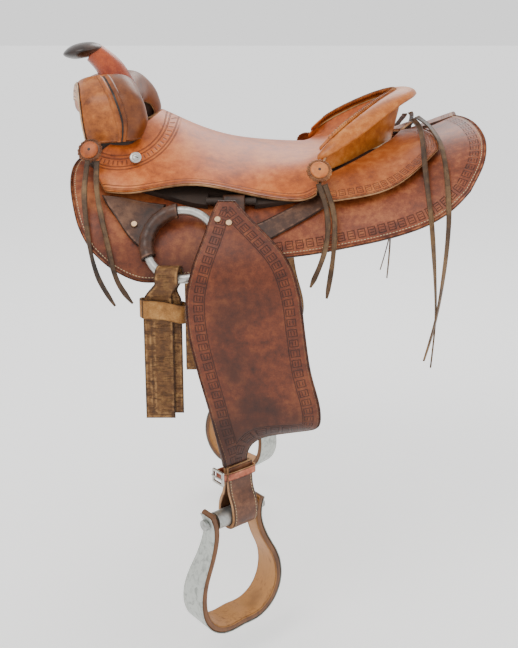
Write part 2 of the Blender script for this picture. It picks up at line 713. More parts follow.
def stitches(name, runs, mat, long=3.6, wide=0.9, tall=0.9, lift=0.25, slant=0.0):
    """Row of sewn stitches along runs of (points, normals)."""
    bv, bf = bead(long, wide, tall)
    verts, faces, n = [], [], 0
    for pts, norms in runs:
        t = unit(np.gradient(pts, axis=0))
        side = unit(np.cross(norms, t))
        for k in range(len(pts)):
            a = slant + RNG.normal(0, 0.05)
            along = t[k] * math.cos(a) + side[k] * math.sin(a)
            across = np.cross(norms[k], along)
            m = np.stack([along, across, norms[k]])
            verts.append(bv @ m + pts[k] + norms[k] * lift)
            faces.append(bf + n)
            n += len(bv)
    return mesh_object(name, np.concatenate(verts), np.concatenate(faces), [mat])


def flip_y(grid):
    out = np.array(grid, float)
    out[..., 1] *= -1
    return out


def sided(name, make, body, slot, *nodes):
    """The near piece and its mirror image on the off side."""
    for side, f in (("near", np.asarray), ("off", flip_y)):
        own = body if body == "saddle" else side + "_" + body
        swapped = [side + "_" + n for n in nodes]
        for ob in make(side + "_" + name, f):
            settle(ob, own, slot, *swapped)
            swapped = []


def waviness(grid, mm, scale, seed):
    """Grid moved a little along its normals by smooth noise."""
    flat = grid.reshape(-1, 3)
    w = np.array([noise.noise(Vector(p) * scale + Vector((seed, 0, 0))) for p in flat])
    return np.asarray(offset_net(grid, 0)) + (offset_net(grid, 1.0) - grid) * (
        w.reshape(grid.shape[:2] + (1,)) * mm)


# ---- skirts and lining
SKIRT_TOP = [(-268, 62), (-200, 48), (-60, 42), (80, 42), (190, 34), (260, 14), (314, 1)]
SKIRT_BOTTOM = [(-238, 266), (-220, 284), (-195, 294), (-160, 299), (-100, 289), (-20, 270),
                (58, 258), (128, 255), (198, 255), (254, 252), (284, 241), (298, 228)]
SKIRT_FRONT = [(-268, 62), (-277, 110), (-276, 154), (-268, 195), (-255, 238), (-238, 266)]
SKIRT_REAR = [(314, 1), (322, 52), (329, 107), (330, 150), (320, 192), (298, 228)]
SKIRT = (SKIRT_TOP, SKIRT_BOTTOM, SKIRT_FRONT, SKIRT_REAR)


def inset_side(side, dx, ds):
    cx, cs = 20.0, 150.0
    return [(x - math.copysign(dx, x - cx) * min(abs(x - cx) / 60, 1),
             s - math.copysign(ds, s - cs) * min(abs(s - cs) / 60, 1)) for x, s in side]


SKIRT_HI, SKIRT_LO = on_back(SKIRT, 0.0, -SKIRT_T, (22, 14), (210, 110))


def make_skirt(name, f):
    wave = waviness(SKIRT_HI, 0.7, 0.018, 3) - SKIRT_HI
    p = Panel(f(SKIRT_HI + wave), f(SKIRT_LO + wave * 0.6), "v1 u0 u1")
    yield p.build(name, ["skirt", "edge", "flesh"])
    yield stitches(name + "_stitches", p.inset(7.2, pitch=4.6), "cream", 3.3, 0.9, 0.8, 0.05)


sided("skirt", make_skirt, "saddle", "skirt_leather", "skirt")

LINING = [inset_side(side, 3.0, 3.0) for side in SKIRT]
LINING_HIGH = -SKIRT_T - 2 * GAP
LIN_HI, LIN_LO = on_back(LINING, LINING_HIGH, LINING_HIGH - LINING_T, (22, 14), (240, 130))


def make_lining(name, f):
    flat = LIN_LO.reshape(-1, 3)
    n = unit(LIN_LO - LIN_HI)
    curl = np.array([noise.noise(Vector(p) * 0.11) * 1.3 + noise.noise(Vector(p) * 0.33) * 1.1
                     for p in flat]).reshape(LIN_LO.shape[:2] + (1,))
    low = LIN_LO + n * (curl - 0.6)
    p = Panel(f(LIN_HI), f(low), round_mm=4.5)
    yield p.build(name, ["flesh", "fleece", "fleece"])


sided("lining", make_lining, "saddle", "fleece", "lining")

# ---- seat, rear jockeys
SEAT_ROWS = [
    [(-222, 170, 0), (-243, 152, 30), (-240, 127, 52), (-207, 104, 70), (-172, 68, 89),
     (-158, 34, 100), (-154, 0, 103)],
    [(-192, 177, -3), (-205, 155, 24), (-200, 130, 46), (-178, 100, 66), (-152, 68, 83),
     (-142, 34, 93), (-139, 0, 97)],
    [(-158, 177, 4), (-163, 155, 22), (-160, 128, 42), (-148, 98, 60), (-130, 66, 73),
     (-120, 33, 82), (-116, 0, 86)],
    [(-98, 173, 16), (-98, 153, 26), (-98, 127, 38), (-96, 98, 50), (-92, 66, 61),
     (-88, 33, 69), (-86, 0, 73)],
    [(-45, 177, 6), (-45, 154, 18), (-45, 126, 28), (-45, 98, 38), (-45, 66, 48),
     (-45, 33, 56), (-45, 0, 60)],
    [(5, 178, -6), (5, 155, 11), (5, 126, 26), (5, 98, 35), (5, 66, 44), (5, 33, 51), (5, 0, 54)],
    [(42, 179, -11), (44, 156, 10), (46, 126, 29), (49, 98, 36), (52, 66, 43), (54, 33, 48),
     (55, 0, 50)],
    [(62, 179, -11), (67, 155, 16), (76, 122, 36), (92, 94, 42), (104, 62, 45), (110, 31, 48),
     (112, 0, 49)],
    [(74, 178, -7), (80, 153, 22), (92, 120, 46), (118, 90, 58), (142, 62, 64), (158, 31, 69),
     (162, 0, 70)],
    [(80, 177, -4), (85, 151, 28), (99, 119, 55), (132, 87, 76), (166, 59, 90), (188, 30, 99),
     (194, 0, 101)],
    [(82, 176, -2), (87, 150, 32), (101, 118, 60), (136, 86, 86), (172, 56, 107), (200, 27, 121),
     (209, 0, 125)]]
SEAT_NET = [[(x, -y, z) for x, y, z in half] + [(x, y, z) for x, y, z in reversed(half[:-1])]
            for half in SEAT_ROWS]

seat_hi = surface(SEAT_NET, 190, 190)
seat_lo = surface(offset_net(SEAT_NET, -SEAT_T), 190, 190)
seat_panel = Panel(seat_hi, seat_lo, "v0 v1", 1.9)
seat = seat_panel.build("seat", ["seat", "pale_edge", "flesh"])
settle(seat, "saddle", "saddle_leather", "seat")

JOCKEY = (
    [(92, 138), (128, 118), (170, 88), (206, 50), (226, 3)],
    [(90, 186), (116, 187), (173, 187), (202, 180), (236, 160), (262, 138)],
    [(92, 138), (88, 162), (90, 186)],
    [(226, 3), (250, 45), (264, 95), (262, 138)])
JOCKEY_HI, JOCKEY_LO = on_back(JOCKEY, lambda u, v: 16.0 - 4.5 * u, lambda u, v: 11.5 - 4.5 * u,
                               (12, 9), (100, 80))


def make_jockey(name, f):
    p = Panel(f(JOCKEY_HI), f(JOCKEY_LO), "v1 u1")
    yield p.build(name, ["jockey", "pale_edge", "flesh"])


sided("rear_jockey", make_jockey, "saddle", "saddle_leather", "rear_jockey")

# ---- fork, horn
FORK_PATH = [(-98, 33, 12, -244, -194), (-101, 60, 13, -250, -184), (-101, 88, 18, -256, -169),
             (-89, 115, 23, -262, -176), (-62, 129, 24, -270, -190), (-32, 127, 21, -281, -194),
             (0, 123, 19, -287, -196)]
FORK_RAKE = 0.08
FORK_RINGS = 2 * len(FORK_PATH) - 1
COVER_OFF, COVER_T = 2.2, 4.0
COVER_NU, COVER_NV = 23, 17
BAND_LO, BAND_HI = 0.09, 0.25
WELT_V, WELT_SLOPE, WELT_END = 0.565, 0.30, 0.27


def ring_point(c, a, b, power, t):
    ca, sa = math.cos(t), math.sin(t)
    p = power if isinstance(power, float) else power[0] + (power[1] - power[0]) * (1 - ca) / 2
    fa = math.copysign(abs(ca) ** (2 / p), ca)
    fb = math.copysign(abs(sa) ** (2 / p), sa)
    return c + a * fa + b * fb * 1.1


def fork_ring(i, grow):
    half = FORK_PATH + [(-y, z, r, a, b) for y, z, r, a, b in reversed(FORK_PATH[:-1])]
    i0, i1 = max(i - 1, 0), min(i + 1, len(half) - 1)
    ty, tz = half[i1][0] - half[i0][0], half[i1][1] - half[i0][1]
    long = math.hypot(ty, tz)
    y, z, r, a, b = half[i]
    out = np.array((0, -tz / long, ty / long))
    return (np.array(((a + b) / 2, y, z)), unit((1, 0, FORK_RAKE)) * ((b - a) / 2 + grow),
            out * (r + grow), (2.3, 4.0))


def cover_place(u, v, off):
    first, last = 1.15, FORK_RINGS - 2.15
    t = first + u * (last - first)
    i = min(int(t), FORK_RINGS - 2)
    f = t - i
    c0, a0, b0, power = fork_ring(i, off)
    c1, a1, b1, power = fork_ring(i + 1, off)
    c, a, b = c0 * (1 - f) + c1 * f, a0 * (1 - f) + a1 * f, b0 * (1 - f) + b1 * f
    return ring_point(c, a, b, power, math.pi * (1.22 - 1.44 * v))


COVER = pair(cover_place, COVER_OFF + COVER_T, COVER_OFF, (COVER_NU, COVER_NV), (260, 150))
cover = Panel(*COVER, "u0 u1 v0 v1", 1.8).build("fork_cover", ["fork", "pale_edge", "flesh"])
settle(cover, "saddle", "saddle_leather", "fork_cover")


COVER_NETS = [np.array(net_of(cover_place, COVER_OFF + COVER_T + k, COVER_NU, COVER_NV))
              for k in (0, 1)]


def cover_strip(lo, hi, lift, thick, u1=1.0, bulge=0.0):
    """Strip of leather on the fork's cover; lo and hi give its edges along u."""
    nu, nv = 160, 14
    us = np.linspace(0.0, u1, nu)
    vs = np.linspace(lo(us), hi(us), nv, axis=1)
    a, b = basis(COVER_NU, us), basis(COVER_NV, vs.ravel()).reshape(nu, nv, COVER_NV)
    base, above = (np.einsum("ai,abj,ijk->abk", a, b, net) for net in COVER_NETS)
    ridge = bulge * np.sin(np.linspace(0, math.pi, nv))[None, :, None]
    return Panel(base + (above - base) * (lift + thick + ridge), base + (above - base) * lift,
                 "v0 v1", 0.8)


band = cover_strip(lambda u: BAND_LO + 0 * u, lambda u: BAND_HI + 0 * u, 0.1, 1.3)
settle(band.build("gullet_band", ["gullet", "edge", "flesh"]), "saddle", "saddle_leather")
settle(stitches("gullet_stitches", band.inset(3.4, "v1", 4.4), "cream", 3.2, 1.0, 0.9, 0.1),
       "saddle", "saddle_leather")


def make_welt(name, f):
    """Two ridges with a slit between, from the swell's peak down its rear."""
    ridge, slit = (0.05, 0.6, 1.9, "fork"), (0.02, 0.4, 0.0, "dark")
    for part, lo, hi, (lift, thick, bulge, mat) in (
            ("_front", -0.034, -0.005, ridge), ("_rear", 0.005, 0.034, ridge),
            ("_slit", -0.008, 0.008, slit)):
        p = cover_strip(lambda u: WELT_V - WELT_SLOPE * u + lo,
                        lambda u: WELT_V - WELT_SLOPE * u + hi, lift, thick, WELT_END, bulge)
        yield p.on(f, 0.5).build(name + part, [mat, "dark", "dark"], tool_under=True)


sided("fork_welt", make_welt, "saddle", "saddle_leather")

HORN_LINE = ((-221, 134, 27.5), (-224, 145, 25.0), (-229, 157, 23.0), (-237, 170, 20.5),
             (-248, 181, 18.0), (-259, 190, 16.5))
HORN_CAP_AT, HORN_CAP_TILT, CAP_FIT = (-275.5, 0, 192.5), 11.0, 0.93


def tube_grid(stations, nu, nv):
    """Closed rings along the CAD model's tubes; nv points round each half."""
    def half_ring(c, a, b, power, half):
        line = [ring_point(c, a, b, power, math.pi * (k / 6 + half)) for k in range(7)]
        line[0] = c + a * (1 if half == 0 else -1)
        line[-1] = c - a * (1 if half == 0 else -1)
        return line
    upper = surface([half_ring(*st, 0) for st in stations], nu, nv)
    lower = surface([half_ring(*st, 1) for st in stations], nu, nv)
    return np.concatenate([upper, lower[:, 1:-1]], axis=1)


def tube_mesh(name, grid, mats, cap=True):
    """Mesh of closed rings; uv runs along the tube and round it."""
    nu, nv = grid.shape[:2]
    faces = ring_faces(nu, nv).tolist()
    verts = grid.reshape(-1, 3)
    mid = grid.mean(axis=1)
    run = np.concatenate([[0], np.cumsum(np.linalg.norm(np.diff(mid, axis=0), axis=1))])
    uv = np.stack([np.repeat(run, nv), np.tile(np.linspace(0, 60, nv), nu)], axis=1)
    if cap:
        verts = np.concatenate([verts, mid[:1], mid[-1:]])
        uv = np.concatenate([uv, [[0, 0], [run[-1], 0]]])
        n = nu * nv
        faces += [[(j + 1) % nv, j, n] for j in range(nv)]
        faces += [[(nu - 1) * nv + j, (nu - 1) * nv + (j + 1) % nv, n + 1] for j in range(nv)]
    c, p, q = mid[nu // 2], grid[nu // 2, 0], grid[nu // 2, 1]
    ahead = grid[nu // 2 + 1, 0] - p
    if np.dot(np.cross(q - p, ahead), p - c) < 0:
        faces = [list(reversed(f)) for f in faces]
    return mesh_object(name, verts, faces, mats, uv=uv)


def horn_stations():
    out, n = [], len(HORN_LINE)
    for i, (x, z, r) in enumerate(HORN_LINE):
        a, b = HORN_LINE[max(i - 1, 0)], HORN_LINE[min(i + 1, n - 1)]
        along = unit((b[0] - a[0], 0, b[1] - a[1]))
        side = np.cross(along, (0, 1, 0))
        out.append((np.array((x, 0, z)), side * r, np.array((0, r * 0.96, 0)), 2.0))
    return out


wrap_grid = tube_grid(horn_stations(), 70, 40)
wrap = tube_mesh("horn_wrap", wrap_grid, ["horn"])
settle(wrap, "saddle", "horn_leather", "horn_wrap", "horn_core")


def horn_cap():
    profile = [(0.01, 12.5), (7, 12.3), (14, 11.4), (20, 9.9), (25, 7.8), (29, 5.4), (31.8, 3.3),
               (33.4, 1.4), (33.9, 0), (33.4, -1.5), (31.6, -3.7), (28.5, -5.8), (25, -7.5),
               (20.5, -9.3), (16, -10.7), (8, -11.3), (0.01, -11.5)]
    rows = []
    for k in range(72):
        a = 2 * math.pi * k / 72
        rows.append([(r * CAP_FIT * math.cos(a), r * CAP_FIT * math.sin(a), z) for r, z in profile])
    g = np.array(rows)
    t = math.radians(-HORN_CAP_TILT)
    x = g[..., 0] * math.cos(t) + g[..., 2] * math.sin(t)
    z = -g[..., 0] * math.sin(t) + g[..., 2] * math.cos(t)
    g = np.stack([x, g[..., 1], z], axis=-1) + np.array(HORN_CAP_AT)
    nu, nv = g.shape[:2]
    faces = []
    for i in range(nu):
        k = (i + 1) % nu
        faces += [(i * nv + j, k * nv + j, k * nv + j + 1, i * nv + j + 1) for j in range(nv - 1)]
    ob = mesh_object("horn_cap", g.reshape(-1, 3), np.array(faces)[:, ::-1], ["cap"])
    mod = ob.modifiers.new("smooth", "SUBSURF")
    mod.levels = mod.render_levels = 1
    return ob


settle(horn_cap(), "saddle", "dark_leather", "horn_cap")

# ---- cantle
CANTLE_ARC = [(86, -128, 46), (103, -122, 64), (123, -108, 80), (143, -90, 93), (165, -70, 106),
              (192, -44, 120), (213, -20, 128), (220, 0, 130)]
CANTLE_FULL = CANTLE_ARC + [(x, -y, z) for x, y, z in reversed(CANTLE_ARC[:-1])]


def cantle_at(t):
    def point(q):
        return np.array(curve(CANTLE_FULL, min(max(q, 0.0), 1.0)))
    tangent = point(t + 0.02) - point(t - 0.02)
    outward = unit((-tangent[1], tangent[0], 0))
    here = point(t)
    if np.dot(outward, here - np.array((60, 0, here[2]))) < 0:
        outward = -outward
    return here, outward


def roll_stations():
    out = []
    for i in range(19):
        t = i / 18
        top, outward = cantle_at(t)
        full = max(math.sin(math.pi * t), 0.0)
        wide, tall = 5 + 13 * full ** 0.45, 4.0 + 3.5 * full ** 0.5
        tilt = math.radians(4 + 46 * (1 - full ** 2))
        away = outward * math.cos(tilt) - np.array((0, 0, 1)) * math.sin(tilt)
        up = outward * math.sin(tilt) + np.array((0, 0, 1)) * math.cos(tilt)
        out.append((top + away * (wide * 0.85) + up, away * wide, up * tall, 2.3))
    return out


def binding_stations():
    out = []
    for i in range(19):
        t = 0.02 + 0.96 * i / 18
        top, outward = cantle_at(t)
        out.append((top - outward * 4.5 + np.array((0, 0, 3.5)), outward * 3.6,
                    np.array((0, 0, 3.0)), 2.0))
    return out


roll_grid = tube_grid(roll_stations(), 220, 22)
settle(tube_mesh("cantle_roll", roll_grid, ["roll"]), "saddle", "saddle_leather", "cantle_roll")
bind_grid = tube_grid(binding_stations(), 200, 16)
settle(tube_mesh("cantle_binding", bind_grid, ["roll"]), "saddle", "dark_leather", "cantle_binding")


def whip_lacing():
    """Slanted lace over the binding."""
    nu, nv = bind_grid.shape[:2]
    count, verts, faces, n = 86, [], [], 0
    mid = bind_grid.mean(axis=1)
    for k in range(count):
        at = 4 + (nu - 12) * k / count
        path = []
        for s in np.linspace(0.04, 0.96, 12):
            i = at + 4.6 * s
            j = s * (nv - 1)
            a, b = int(i), int(j)
            p = (bind_grid[a, min(b, nv - 1)] * (1 - (j - b))
                 + bind_grid[a, min(b + 1, nv - 1)] * (j - b))
            path.append(p + unit(p - mid[a]) * 0.35)
        path = np.array(path)
        t = unit(np.gradient(path, axis=0))
        out = unit(path - mid[int(at)])
        side = unit(np.cross(out, t))
        for m in range(len(path)):
            wide = 0.95 * math.sin(math.pi * (0.12 + 0.76 * m / 11)) ** 0.5
            for a in range(6):
                c, s_ = math.cos(a * math.pi / 3), math.sin(a * math.pi / 3)
                verts.append(path[m] + side[m] * c * wide + out[m] * s_ * 0.45)
        faces.append(n + ring_faces(len(path), 6))
        n += 6 * len(path)
    return mesh_object("cantle_lacing", verts, np.concatenate(faces), ["jockey_lace"])


settle(whip_lacing(), "saddle", "dark_leather")

# ---- cantle: board and its leather back
def cantle_wall(front, foot_front, back_face, foot_back, top_drop, nu=150, nv=40):
    def place(off, lower):
        rows = []
        for u in steps(21):
            t = 0.02 + 0.96 * u
            top, outward = cantle_at(t)
            deep = max(math.sin(math.pi * t), 0.0) ** 0.6
            foot = top - np.array((0, 0, 22 + 52 * deep)) - np.array((14 * deep, 0, 0))
            a = top - np.array((0, 0, top_drop)) + outward * off
            b = foot + outward * lower
            rows.append([a * (1 - v) + b * v for v in steps(5)])
        return surface(rows, nu, nv)
    return Panel(place(back_face, foot_back), place(front, foot_front), "v0 v1")


settle(cantle_wall(5.4, 4.4, 8.8, 7.8, 7.0).build("cantle_cover", ["roll", "edge", "flesh"]),
       "saddle", "saddle_leather", "cantle_cover")

# ---- straps
def strap_panel(centre, side, wide, thick, sides="u0 u1 v0 v1", round_mm=1.3, across=12):
    """Flat strap along a centre line; side is its width direction at each point."""
    centre, side = np.asarray(centre, float), unit(side)
    wide = np.broadcast_to(np.asarray(wide, float), (len(centre),))
    along = unit(np.gradient(centre, axis=0))
    out = unit(np.cross(along, side))
    s = np.linspace(-0.5, 0.5, across)
    mid = centre[:, None, :] + side[:, None, :] * (s[None, :, None] * wide[:, None, None])
    up = out[:, None, :] * thick / 2
    return Panel(mid + up, mid - up, sides, round_mm)


def spline(points, pitch=2.0):
    """Smooth line through points at an even pitch."""
    dense = np.array([curve(points, t) for t in np.linspace(0, 1, 160)])
    return even(dense, pitch)


RING_R, RING_WIRE_R, RING_X, RING_S, RING_OFF = 50.0, 6.5, -108.0, 245.0, 12.5
RING_C = np.array(back(RING_X, RING_S, RING_OFF))
RING_N = unit(np.array(back(RING_X, RING_S, 20)) - np.array(back(RING_X, RING_S, 0)))
RING_DOWN = np.cross((1, 0, 0), RING_N)


def rear_fold():
    """Leather from the rigging, over the ring's wire and back under it."""
    c, r = RING_C + np.array((RING_R, 0, 0)), RING_WIRE_R + 2.9
    path = [(34, -6.0), (22, 0.5), (12, 6.6)]
    path += [(r * math.cos(a), r * math.sin(a)) for a in np.radians(np.arange(75, -200, -15))]
    line = spline([tuple(c + np.array((x, 0, 0)) + RING_N * y) for x, y in path], 1.6)
    return strap_panel(line, np.tile(RING_DOWN, (len(line), 1)), 26.0, 3.2, "v0 v1", 1.2, 14)


def front_fold():
    """Leather sewn round the ring's front upper quarter."""
    def place(u, v, off):
        a = math.radians(-82 + 106 * u)
        out = -np.array((1.0, 0, 0)) * math.cos(a) + RING_DOWN * math.sin(a)
        t = math.radians(-8 + 352 * v)
        pinch = 1.0 + 0.03 * math.sin(40 * u)
        return RING_C + out * RING_R + (out * math.cos(t) + RING_N * math.sin(t)) * off * pinch
    hi, lo = ([[place(u, v, r) for v in steps(48)] for u in steps(70)] for r in (10.7, 7.6))
    return Panel(hi, lo, "u0 u1", 1.2)


RIG_FRONT = ([(-226, 181), (-180, 175), (-134, 179)], [(-203, 213), (-187, 234), (-166, 252)],
             [(-226, 181), (-217, 197), (-203, 213)], [(-134, 179), (-141, 212), (-166, 252)])
RIG_REAR = ([(-58, 222), (-10, 214), (76, 164), (120, 142)],
            [(-58, 256), (-8, 246), (60, 208), (120, 172)],
            [(-58, 222), (-58, 239), (-58, 256)], [(120, 142), (120, 157), (120, 172)])


def make_rigging(outline, fold, nu, nv, keep, thick):
    hi, lo = on_back(outline, 1.0 + thick, 1.0, (10, 8), (nu, nv))

    def make(name, f):
        p = Panel(f(hi), f(lo), keep)
        yield p.build(name, ["rig", "edge", "flesh"])
        yield fold.on(f).build(name + "_fold", ["rig", "edge", "rig"], tool_under=True)
    return make


sided("rigging_front", make_rigging(RIG_FRONT, front_fold(), 60, 50, "v1 u0 u1", 4.0),
      "saddle", "strap_leather", "rigging_front")
sided("rigging_rear", make_rigging(RIG_REAR, rear_fold(), 110, 30, "v0 v1", 3.5),
      "saddle", "strap_leather", "rigging_rear")

# ---- loop, fender and the leather behind it
SWING_X, ROD_S, ROD_OFF, ROD_R, LOOP_T, LOOP_W = -36.0, 177.0, 10.2, 5.5, 4.0, 32.0
ROD = np.array(back(0, ROD_S, ROD_OFF))


def make_loop(name, f):
    n = unit(np.array(back(0, ROD_S, 20)) - np.array(back(0, ROD_S, 0)))
    down = np.cross((1, 0, 0), n)
    r = ROD_R + 0.3 + LOOP_T / 2
    tail = [np.array(back(0, ROD_S + 2 + 27 * v, ROD_OFF + ROD_R + 1.9 - 11.5 * v))
            for v in (1, 0.7, 0.35)]
    arc = [ROD + n * r * math.cos(a) - down * r * math.sin(a)
           for a in np.radians(np.arange(-10, 200, 18))]
    tuck = [ROD - n * (r - 0.6) + down * 9, ROD - n * (r - 2.2) + down * 16]
    line = spline([tuple(p) for p in tail + arc + tuck], 1.6) + np.array((SWING_X, 0, 0))
    p = strap_panel(line, np.tile((1.0, 0, 0), (len(line), 1)), LOOP_W, 3.6, "v0 v1", 1.2, 14)
    yield p.on(f).build(name, ["strap", "edge", "strap"])


sided("loop", make_loop, "loop_body", "strap_leather", "loop")

STIRRUP_TURN, BOLT_X, BOLT_Z, LEG_Y = 40.0, -38.0, -464.0, -258.0
FENDER_SIDE = [(-9, -193), (-25, -207), (-42, -222), (-60, -237), (-85, -254), (-115, -264),
               (-160, -266), (-220, -265), (-290, -262), (-345, -260), (-390, -258)]
FENDER_LEFT = [(-58, -9), (-67, -24), (-76, -50), (-91, -86), (-101, -130), (-98, -185),
               (-87, -238), (-75, -285), (-67, -318), (-62, -345), (-58, -368), (-56, -384)]
FENDER_RIGHT = [(-34, -9), (-18, -26), (8, -48), (40, -80), (56, -122), (64, -180),
                (73, -240), (88, -298), (85, -333), (46, -342), (12, -344), (-10, -353),
                (-16, -368), (-15, -384)]


def fender_y(z):
    return through(-z, [(-a, b) for a, b in FENDER_SIDE])


def turned(p, start=-318, stop=-382):
    t = min(max((start - p[2]) / (start - stop), 0.0), 1.0)
    ang = math.radians(STIRRUP_TURN) * t * t * (3 - 2 * t)
    x, y = p[0] - BOLT_X, p[1] - LEG_Y
    return (BOLT_X + x * math.cos(ang) - y * math.sin(ang),
            LEG_Y + x * math.sin(ang) + y * math.cos(ang), p[2])


def fender_place(u, v, off):
    a, b = curve(FENDER_LEFT, v), curve(FENDER_RIGHT, v)
    x, z = a[0] * (1 - u) + b[0] * u, a[1] * (1 - u) + b[1] * u
    n = unit((0, -1, (fender_y(z - 4) - fender_y(z + 4)) / -8))
    return turned((x + n[0] * off, fender_y(z) + n[1] * off, z + n[2] * off))


def leather_place(u, v, off):
    z = -150 - 234 * v
    return turned((-80 + 26 * v * v + (46 - 8 * v * v) * u, fender_y(z) + off, z))


FENDER_HI, FENDER_LO = pair(fender_place, FENDER_T, 0.0, (8, 26), (90, 200))
BEHIND_HI, BEHIND_LO = pair(leather_place, GAP, GAP + FENDER_T, (4, 14), (24, 110))


def make_fender(name, f):
    wave = waviness(FENDER_HI, 0.8, 0.02, 9) - FENDER_HI
    p = Panel(f(FENDER_HI + wave), f(FENDER_LO + wave * 0.7), "u0 u1 v0", 1.7)
    yield p.build(name, ["fender", "edge", "flesh"])
    q = Panel(f(BEHIND_HI), f(BEHIND_LO), "u0 u1")
    yield q.build(name + "_leather", ["strap", "edge", "strap"], tool_under=True)
    yield stitches(name + "_stitches", p.inset(4.6, "u0 u1", 4.2), "brown", 3.0, 0.8, 0.7, 0.05)


sided("fender", make_fender, "fender_body", "fender_leather", "fender")

# ---- lower leather, hobble strap, buckle, stirrup
LEG_W = (-13.0, 32.0)
PLY_T, SLEEVE_R = 6.0, 13.0
HOBBLE_Z, HOBBLE_W, HOBBLE_T = 66.6, 12.4, 2.6
COS_T, SIN_T = math.cos(math.radians(STIRRUP_TURN)), math.sin(math.radians(STIRRUP_TURN))


def lower(points):
    """From the stirrup's own frame, x along the bolt, to its place."""
    p = np.asarray(points, float)
    return np.stack([BOLT_X + p[..., 0] * COS_T - p[..., 1] * SIN_T,
                     LEG_Y + p[..., 0] * SIN_T + p[..., 1] * COS_T, BOLT_Z + p[..., 2]], axis=-1)


def make_leg(name, f):
    r = SLEEVE_R + 0.6 + PLY_T / 2
    y = PLY_T / 2 + 0.45
    half = [(0, -y, 79), (0, -y, 70), (0, -y, 62), (0, -y - 0.6, 52), (0, -y - 3.0, 38),
            (0, -r + 2.2, 20), (0, -r, 6)]
    arc = [(0, -r * math.cos(a), -r * math.sin(a)) for a in np.radians((15, 40, 65, 90, 115, 140, 165))]
    path = half + arc + [(x, -y_, z) for x, y_, z in reversed(half)]
    line = spline(path, 1.8) + np.array(((LEG_W[0] + LEG_W[1]) / 2, 0, 0))
    p = strap_panel(line, np.tile((1.0, 0, 0), (len(line), 1)), LEG_W[1] - LEG_W[0], PLY_T, "v0 v1",
                    1.4, 20)
    p = p.on(lower).on(f)
    yield p.build(name, ["leg", "pale_edge", "strap"])
    runs = [(pts[low], n[low]) for pts, n in p.inset(4.0, pitch=4.4)
            for low in [pts[:, 2] < BOLT_Z + 70]]
    yield stitches(name + "_stitches", runs, "cream", 3.0, 0.8, 0.7, 0.05)


sided("lower_leather", make_leg, "leg", "strap_leather", "lower_leather")


def make_hobble(name, f):
    x0, x1, y = LEG_W[0] - 9.0, LEG_W[1] + 0.5, 9.7
    c = [(x0 + 4, -y - 1.5), ((x0 + x1) / 2, -y - 1.5), (x1 - 1, -y - 1.3), (x1 + 1.5, -y + 2),
         (x1 + 1.5, 0), (x1 + 1.5, y - 2), (x1 - 1, y + 1.3), ((x0 + x1) / 2, y + 1.5),
         (x0 + 4, y + 1.5), (x0 - 1.2, y - 2), (x0 - 1.5, 0), (x0 - 1.2, -y + 2), (x0 + 3.8, -y - 1.5)]
    line = spline([(x, yy, HOBBLE_Z + 0.0011 * (x - 10) ** 2) for x, yy in c], 1.5)
    p = strap_panel(line, np.tile((0, 0, 1.0), (len(line), 1)), HOBBLE_W, HOBBLE_T, "v0 v1",
                    1.0, 10)
    yield p.on(lower).on(f).build(name, ["hobble", "pale_edge", "hobble"])


sided("hobble_strap", make_hobble, "leg", "strap_leather", "hobble_strap")

TOP_W, STIRRUP_W, STIRRUP_H, WOOD_T = 70.0, 150.0, 174.0, 9.0
STIRRUP_HALF = [(-TOP_W / 2 - 7, 19), (-TOP_W / 2 - 3, 11), (-TOP_W / 2, 0), (-TOP_W / 2, -22),
                (-TOP_W / 2 - 10, -53), (-STIRRUP_W / 2 + 12, -91), (-STIRRUP_W / 2 + 10, -126),
                (-STIRRUP_W / 2 + 24, -153), (-STIRRUP_W / 2 + 48, -165), (0, -STIRRUP_H + 11)]
STIRRUP_LINE = STIRRUP_HALF + [(-x, z) for x, z in reversed(STIRRUP_HALF[:-1])]


def stirrup_depth(t):
    return through(abs(t - 0.5) * 2, [(0, 25), (0.35, 24), (0.7, 16), (0.85, 13), (1.0, 12)])


def stirrup_place(u, v, off):
    a, b = curve(STIRRUP_LINE, max(u - 0.006, 0)), curve(STIRRUP_LINE, min(u + 0.006, 1))
    long = math.dist(a, b)
    nx, nz = (b[1] - a[1]) / long, -(b[0] - a[0]) / long
    x, z = curve(STIRRUP_LINE, u)
    return (x + nx * off, stirrup_depth(u) * (2 * v - 1), z + nz * off)


def stirrup_grid(off, nu=240, nv=26):
    return lower(surface(net_of(stirrup_place, off, 33, 4), nu, nv))


def make_stirrup(name, f):
    p = Panel(f(stirrup_grid(0.0)), f(stirrup_grid(WOOD_T)), round_mm=3.2)
    yield p.build(name, ["stirrup", "stirrup_rim", "stirrup_rim"])


def make_binding(name, f):
    p = Panel(f(stirrup_grid(WOOD_T + 1.6)), f(stirrup_grid(WOOD_T + 0.4)), round_mm=0.5)
    yield p.build(name, ["zinc", "zinc", "zinc"])


sided("stirrup", make_stirrup, "stirrup_body", "stirrup_wood", "stirrup")
sided("stirrup_binding", make_binding, "stirrup_body", "galvanised", "stirrup_binding")

# ---- latigo and off billet
STRAP_T, NECK_W, WRAP_W, WRAP_T, WRAP_DROP = 4.2, 33.0, 27.0, 2.6, 48.0
WIRE = RING_C + np.array((-17.0, 0, 0)) + RING_DOWN * math.sqrt(RING_R ** 2 - 17.0 ** 2)


